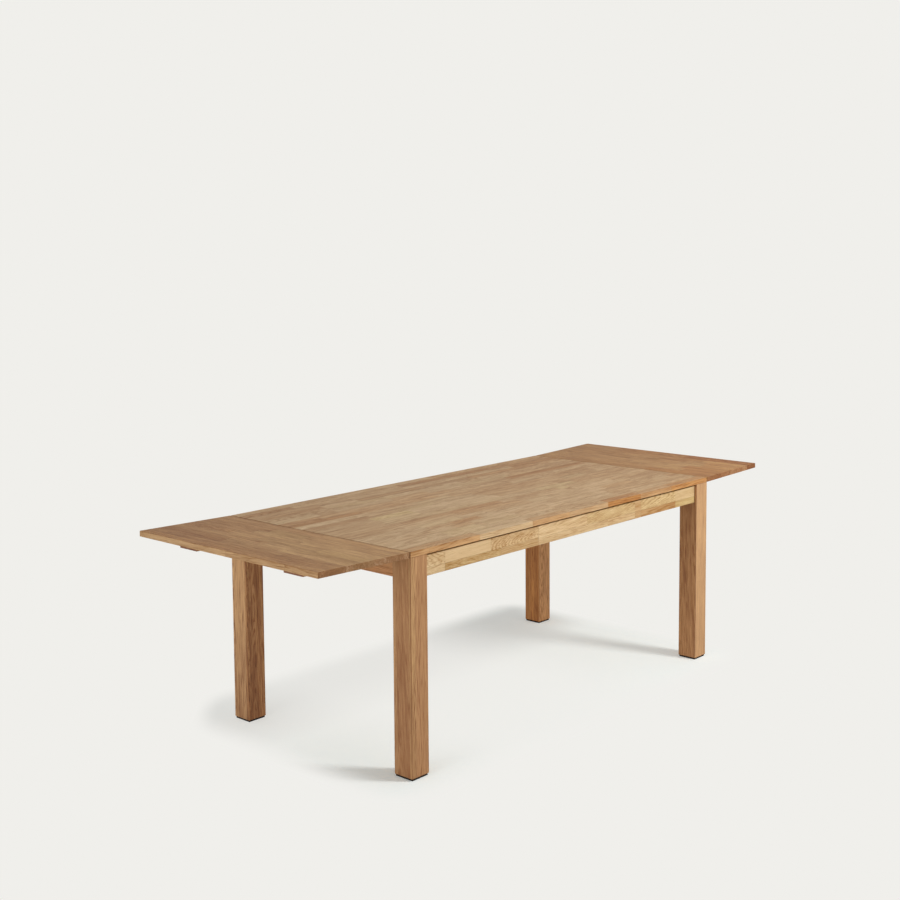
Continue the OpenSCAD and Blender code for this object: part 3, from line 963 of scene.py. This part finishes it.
def add_leaf(side, sizes):
    """Staves across the table, so their end grain shows in the leaf's front and back edges."""
    basis = leaf_basis(side)
    node = f"{side}_leaf"
    low, high = span(node, basis)
    starts = [low.x + row[0] * MM for row in LEAF_ROWS[side]]
    rows, tones = picked_rows(starts, [row[1:] for row in LEAF_ROWS[side]])
    staves = Staves(
        low, high, Y, X, rows, seed=f"{node} {sizes.seed}", tones=tones,
        darkening=LONG_EDGE_DARKENING, edge=LEAF_EDGE, ends=LEAF_ENDS[side],
    )
    bm = eased_solid(node, basis, sizes.arris)
    if side == "left":
        pull_in_end(bm, high.x, -sizes.seam)
    else:
        pull_in_end(bm, low.x, sizes.seam)
    add_board(bm, staves, f"{node}_boards", node, "oak_leaf", node, basis)
    add_plain_part(f"{side}_leaf_battens", node, "inner_wood", X, Y, basis)


# where a leg is glued up, in metres from its low corner: across it, then through it
LEG_LAMINATES = {
    "front_left": ([0.021], [0.008, 0.064]),
    # front_right: the 3 mm front layer wraps pale onto the left face, a painted highlight along that
    # corner
    "front_right": ([0.046], [0.003]),
    "back_left": ([0.010, 0.038], [0.010]),
    "back_right": ([0.038], [0.003, 0.050]),
}
# by row across, 0 and layer through, in percent: tone, warmth, drift, and slope and figure if picked
LEG_TONES = {
    "front_left": {
        (0, 0, 0): (0, -40, 80), (0, 0, 1): (-55, 20, 70), (0, 0, 2): (-15, -10, 70),
        (1, 0, 0): (-12, 30, 30),
    },
    "front_right": {
        # front_right: the pale 3 mm layer on the left face's corner is a painted highlight; the stave
        # behind it is darker
        (0, 0, 0): (75, 0, 30), (0, 0, 1): (-35, 60, -30, 4, 100), (1, 0, 0): (61, 0, 40),
    },
    "back_left": {
        (0, 0, 0): (-50, 70, 70), (0, 0, 1): (62, 0, 220), (1, 0, 0): (-85, 60, 100),
        (2, 0, 0): (-65, 80, 30),
    },
    "back_right": {
        (0, 0, 0): (85, 100, 0), (0, 0, 1): (-15, 200, 20), (0, 0, 2): (5, 180, 0),
        (1, 0, 0): (115, 100, 20),
    },
}
LEG_FIGURE = {"front_left": 0.6, "front_right": 0.45, "back_left": 1.4, "back_right": 1.2}
LEG_EDGE_DARKENING = 1.4
LEG_SLOPE = 0.04
LEG_RIM = 0.8 * MM
UPRIGHT_EDGE = 300 * MM


def add_leg(corner, sizes):
    """A leg glued up from upright staves."""
    node = f"leg_{corner}"
    low, high = span(node, UPRIGHT)
    across, through = LEG_LAMINATES[corner]
    rows = [(low.x + place, []) for place in (0, *across)]
    layers = [low.y + place for place in through]
    staves = Staves(
        low, high, Z, X, rows, layers, seed=f"{node} {sizes.seed}", tones=LEG_TONES[corner],
        slope=LEG_SLOPE, darkening=LEG_EDGE_DARKENING, figure=LEG_FIGURE[corner],
    )
    bm = solid_copy(node, UPRIGHT)
    upright = [e for e in sharp_edges(bm) if abs(e.verts[0].co.z - e.verts[1].co.z) > UPRIGHT_EDGE]
    ease(bm, upright, sizes.leg_arris)
    rim = [e for e in sharp_edges(bm) if min(v.co.z for v in e.verts) > high.z - TOUCH]
    ease(bm, rim, LEG_RIM)
    add_board(bm, staves, f"{node}_post", "frame", "oak_leg", node)
    add_pressed_part(f"foot_pad_{corner}", "frame", "black_pad", PAD_EDGE)


# the rows of a long apron, the ripped one first: of each stave its end in mm, and in percent its
# tone, warmth, drift, slope and figure
APRON_ROWS = (
    ((-722, 15, 0, -20, 5, 80), (-430, -60, -50, 20, 8, 80), (-221, -20, -10, 0, 2, 60),
     (204, 10, 0, 0, 3, 60), (386, 5, 10, -20, 2, 60), (428, -60, 30, 0, 2, 40),
     (675, -100, 60, -20, 2, 50), (820, -5, -100, 20, 1, 30)),
    ((-722, 40, 0, -20, 13, 80), (-486, 52, 10, 0, 1, 10), (-221, -15, 10, 0, 17, 90),
     (72, 38, 10, -50, 4, 70), (386, 12, -40, 20, 9, 60), (428, -25, 40, 0, 2, 40),
     (675, 0, -50, 30, 9, 80), (820, 28, -20, 0, 2, 30)),
)
# painted shade: the long aprons' top faces, in the gap under the top, and their bottom faces are
# painted darker than their fronts
APRON_EDGE_SHADE = EdgeLook(tone_shift=-0.6, darkening=0.8)
# where the two rows of an end apron are cut, in metres, the ripped one first
END_APRON_CUTS = ([-0.06, 0.22], [-0.21, 0.14])


def add_long_apron(end, sizes):
    """Two rows of staves, a full one above a ripped one."""
    node = f"{end}_apron"
    low, high = span(node, UPRIGHT)
    rows, tones = picked_rows([low.z, high.z - sizes.stave], APRON_ROWS)
    staves = Staves(
        low, high, X, Z, rows, seed=f"{node} {sizes.seed}", tones=tones, darkening=LONG_EDGE_DARKENING, edge=APRON_EDGE_SHADE
    )
    bm = eased_solid(node, UPRIGHT, sizes.arris)
    add_board(bm, staves, f"{node}_boards", "frame", "oak_apron", node)


def add_end_apron(side, sizes):
    """Two rows of staves across the table's end, notched for the bearers."""
    node = f"{side}_end_apron"
    low, high = span(node, UPRIGHT)
    rows = list(zip((low.z, high.z - sizes.stave), END_APRON_CUTS))
    staves = Staves(low, high, Y, Z, rows, seed=f"{node} {sizes.seed}", spread=0.3)
    bm = eased_solid(node, UPRIGHT, sizes.arris)
    add_board(bm, staves, f"{node}_boards", "frame", "oak_end_apron", node)


# ---------------------------------------------------------------- stage

# the floor keeps its shadow on this oblong and fades it out round it, and keeps less in some parts
SHADOW_LOW = Vector((-0.93, -0.42))
SHADOW_HIGH = Vector((0.90, 0.58))
SHADOW_FADE = 0.17
FLOOR_KEEP = 0.92
MIDDLE_EASE = 0.74
BACK_EASE = 0.52
RIGHT_EASE = 0.24
# where the parts set in: along x the middle and the right, along y the back, and along y - x what
# lies past the back left corner
FROM_MIDDLE = (-0.95, -0.42)
FROM_RIGHT = (0.10, 0.75)
FROM_BACK = (-0.20, 0.30)
FROM_CORNER = (1.44, 1.58)
# where the camera sees the lit floor, it is painted this much brighter and cooler than it is lit:
# painted light that lightens its shadow and takes the lamps' warmth out of it
FLOOR_PAINTED_LIFT = (1.160, 1.285, 1.360)
WALL_LIGHT = 1.12
CEILING_LIGHT = 0.10
LIGHT_COLOUR = (1.0, 0.985, 0.96, 1.0)
FLOOR_RADIUS = 60
# name, power, size, place, colour
LAMPS = (
    ("key", 130.0, 1.1, Vector((1.6, -3.47, 3.53)), (1.0, 0.97, 0.93)),
    ("fill", 58.0, 2.4, Vector((-5.2, -0.5, 1.3)), (1.0, 0.98, 0.95)),
)
LAMP_AIM = Vector((0, 0, 0.6))
CAMERA_PLACE = Vector((-3.9957, -3.3847, 1.7522))
# yaw, pitch and roll
CAMERA_TURN = (0.8164, -0.0945, -0.0097)
CAMERA_SENSOR = 36
# focal length as a share of the sensor's width
CAMERA_FOCAL = 1.50786
CAMERA_SHIFT = (0.03995, -0.08982)


def add_backdrop(colour):
    """A pale floor that keeps the soft shadow round the table and runs into a plain backdrop."""
    s = Shader("pale_floor")
    place = s.split(s.node("ShaderNodeTexCoord").outputs["Object"])
    outside = [(SHADOW_LOW[i] - place[i]).most(place[i] - SHADOW_HIGH[i]).most(0.0) for i in (X, Y)]
    far = (outside[X] * outside[X] + outside[Y] * outside[Y]).power(0.5)
    past_left = place[X].ramp(*FROM_MIDDLE)
    right = place[X].ramp(*FROM_RIGHT)
    middle = past_left * (1 - right)
    back = place[Y].ramp(*FROM_BACK) * (1 - past_left)
    keep = FLOOR_KEEP - middle * MIDDLE_EASE - back * BACK_EASE - right * RIGHT_EASE
    corner = 1 - (place[Y] - place[X]).ramp(*FROM_CORNER)
    near = (1 - far.ramp(0.0, SHADOW_FADE)) * keep * corner
    camera = Value(s, s.node("ShaderNodeLightPath").outputs["Is Camera Ray"])
    # painted light: the lit floor the camera sees is brightened and cooled
    pale = s.mix(camera, rgba(colour), rgba(colour, FLOOR_PAINTED_LIFT))
    lit = s.node("ShaderNodeBsdfDiffuse", None, Color=pale)
    plain = s.node("ShaderNodeEmission", None, Color=rgba(colour), Strength=1.0)
    both = s.mix_shaders(s.seen() * (1 - near), lit, plain)
    s.node("ShaderNodeOutputMaterial", None, Surface=both)
    bm = bmesh.new()
    bmesh.ops.create_circle(bm, cap_ends=True, segments=64, radius=FLOOR_RADIUS)
    floor = put_in_scene("floor", mesh_from(bm, "floor"))
    floor.data.materials.append(s.owner)


def add_world(colour):
    """Even pale light, and the backdrop's own colour where it is seen or mirrored."""
    s = Shader("studio", "worlds")
    bpy.context.scene.world = s.owner
    height = s.split(s.node("ShaderNodeTexCoord").outputs["Generated"])[Z]
    strength = WALL_LIGHT + height.most(0.0).least(1.0) * (CEILING_LIGHT - WALL_LIGHT)
    light = s.node("ShaderNodeBackground", None, Color=LIGHT_COLOUR, Strength=strength)
    backdrop = s.node("ShaderNodeBackground", None, Color=rgba(colour))
    s.node("ShaderNodeOutputWorld", None, Surface=s.mix_shaders(s.seen(), light, backdrop))


def add_lamps():
    """A soft key light in front, to the right and well above, and a broad weak one from the left."""
    for name, power, size, place, colour in LAMPS:
        light = bpy.data.lights.new(name, "AREA")
        light.shape = "DISK"
        light.size = size
        light.energy = power
        light.color = colour
        turn = (LAMP_AIM - place).to_track_quat("-Z", "Y").to_matrix().to_4x4()
        put_in_scene(name, light).matrix_world = Matrix.Translation(place) @ turn


def add_camera():
    """Stands off the front left corner, a little above the top, and looks slightly down."""
    data = bpy.data.cameras.new("camera")
    data.sensor_width = CAMERA_SENSOR
    data.lens = CAMERA_SENSOR * CAMERA_FOCAL
    data.shift_x, data.shift_y = CAMERA_SHIFT
    data.clip_end = 200
    yaw, pitch, roll = CAMERA_TURN
    level = math.cos(pitch)
    forward = Vector((math.sin(yaw) * level, math.cos(yaw) * level, math.sin(pitch)))
    right = Vector((math.cos(yaw), -math.sin(yaw), 0))
    upward = right.cross(forward)
    axes = Matrix((
        right * math.cos(roll) + upward * math.sin(roll),
        upward * math.cos(roll) - right * math.sin(roll),
        -forward,
    )).transposed()
    camera = put_in_scene("camera", data)
    camera.matrix_world = Matrix.Translation(CAMERA_PLACE) @ axes.to_4x4()
    bpy.context.scene.camera = camera


# ---------------------------------------------------------------- operators

class TABLE_OT_stage(bpy.types.Operator):
    """Make the floor, the light and the camera"""

    bl_idname = "table.stage"
    bl_label = "Stage"

    def execute(self, context):
        scene = context.scene
        scene.view_settings.view_transform = "Standard"
        add_backdrop(scene.table_colours.backdrop)
        add_world(scene.table_colours.backdrop)
        add_lamps()
        add_camera()
        return {"FINISHED"}


class TABLE_OT_top(bpy.types.Operator):
    """Glue up the fixed top"""

    bl_idname = "table.top"
    bl_label = "Fixed top"

    def execute(self, context):
        add_fixed_top(context.scene.table_sizes)
        return {"FINISHED"}


class TABLE_OT_leaves(bpy.types.Operator):
    """Make the two end leaves with their battens, dowels and screws"""

    bl_idname = "table.leaves"
    bl_label = "Leaves"

    def execute(self, context):
        for side in SIDES:
            add_leaf(side, context.scene.table_sizes)
            add_turned_group(f"{side}_leaf_dowels", f"{side}_leaf", "dowel_beech", add_dowel)
            add_turned_group(f"{side}_batten_screws", f"{side}_leaf", "zinc_steel", add_screw)
        return {"FINISHED"}


class TABLE_OT_legs(bpy.types.Operator):
    """Make the legs and their pads"""

    bl_idname = "table.legs"
    bl_label = "Legs and pads"

    def execute(self, context):
        for corner in CORNERS:
            add_leg(corner, context.scene.table_sizes)
        add_turned_group("foot_pad_screws", "frame", "zinc_steel", add_screw)
        return {"FINISHED"}


class TABLE_OT_aprons(bpy.types.Operator):
    """Make the long aprons and the notched end aprons"""

    bl_idname = "table.aprons"
    bl_label = "Aprons"

    def execute(self, context):
        for end in ENDS:
            add_long_apron(end, context.scene.table_sizes)
        for side in SIDES:
            add_end_apron(side, context.scene.table_sizes)
        return {"FINISHED"}


class TABLE_OT_inner_frame(bpy.types.Operator):
    """Make the cross rails, corner blocks and packers under the top"""

    bl_idname = "table.inner_frame"
    bl_label = "Inner frame"

    def execute(self, context):
        for place in ("left", "middle", "right"):
            add_plain_part(f"{place}_cross_rail", "frame", "inner_wood", Y, Z)
        for corner in CORNERS:
            turn = 45 if corner in ("front_right", "back_left") else -45
            basis = Matrix.Rotation(math.radians(turn), 3, "Z")
            add_plain_part(f"corner_block_{corner}", "frame", "inner_wood", X, Z, basis)
        for side in SIDES:
            add_plain_part(f"{side}_packers", "frame", "inner_wood", X, Y)
        return {"FINISHED"}


class TABLE_OT_bearers(bpy.types.Operator):
    """Make the pull-out bearers with their stop blocks"""

    bl_idname = "table.bearers"
    bl_label = "Bearers"

    def execute(self, context):
        for side in SIDES:
            for end in ENDS:
                name = f"{side}_{end}"
                body = f"bearer_{name}"
                add_plain_part(body, body, "oak_bearer", X, Y, leaf_basis(side))
                add_plain_part(f"stop_{name}", body, "inner_wood", Y, X, leaf_basis(side))
                add_turned_group(f"stop_screws_{name}", body, "zinc_steel", add_screw)
        return {"FINISHED"}


class TABLE_OT_hardware(bpy.types.Operator):
    """Make the dowels, bolts, washers, nuts, brackets and screws of the fixed frame"""

    bl_idname = "table.hardware"
    bl_label = "Hardware"

    def execute(self, context):
        for node in ("apron_dowels", "rail_dowels"):
            add_turned_group(node, "frame", "dowel_beech", add_dowel)
        for node in ("corner_block_screws", "top_bracket_screws"):
            add_turned_group(node, "frame", "zinc_steel", add_screw)
        add_turned_group("hanger_bolts", "frame", "zinc_steel", add_stud)
        for node, width in PRESSED_EDGES.items():
            add_pressed_part(node, "frame", "zinc_steel", width)
        return {"FINISHED"}


class TABLE_PT_panel(bpy.types.Panel):
    """Sizes, colours and the steps that build the table"""

    bl_label = "Extendable oak table"
    bl_space_type = "VIEW_3D"
    bl_region_type = "UI"
    bl_category = "Table"

    def draw(self, context):
        for group in (context.scene.table_sizes, context.scene.table_colours):
            box = self.layout.box()
            for name in group.bl_rna.properties.keys():
                if name not in ("rna_type", "name"):
                    box.prop(group, name)
        for step in STEPS:
            self.layout.operator(step.bl_idname)


STEPS = (
    TABLE_OT_stage,
    TABLE_OT_top,
    TABLE_OT_leaves,
    TABLE_OT_legs,
    TABLE_OT_aprons,
    TABLE_OT_inner_frame,
    TABLE_OT_bearers,
    TABLE_OT_hardware,
)
CLASSES = (TableSizes, TableColours, *STEPS, TABLE_PT_panel)


def register():
    for cls in CLASSES:
        bpy.utils.register_class(cls)
    bpy.types.Scene.table_sizes = PointerProperty(type=TableSizes)
    bpy.types.Scene.table_colours = PointerProperty(type=TableColours)


def unregister():
    del bpy.types.Scene.table_colours
    del bpy.types.Scene.table_sizes
    for cls in reversed(CLASSES):
        bpy.utils.unregister_class(cls)


def main():
    register()
    for step in STEPS:
        getattr(bpy.ops.table, step.bl_idname.split(".")[1])()


if __name__ == "__main__":
    main()
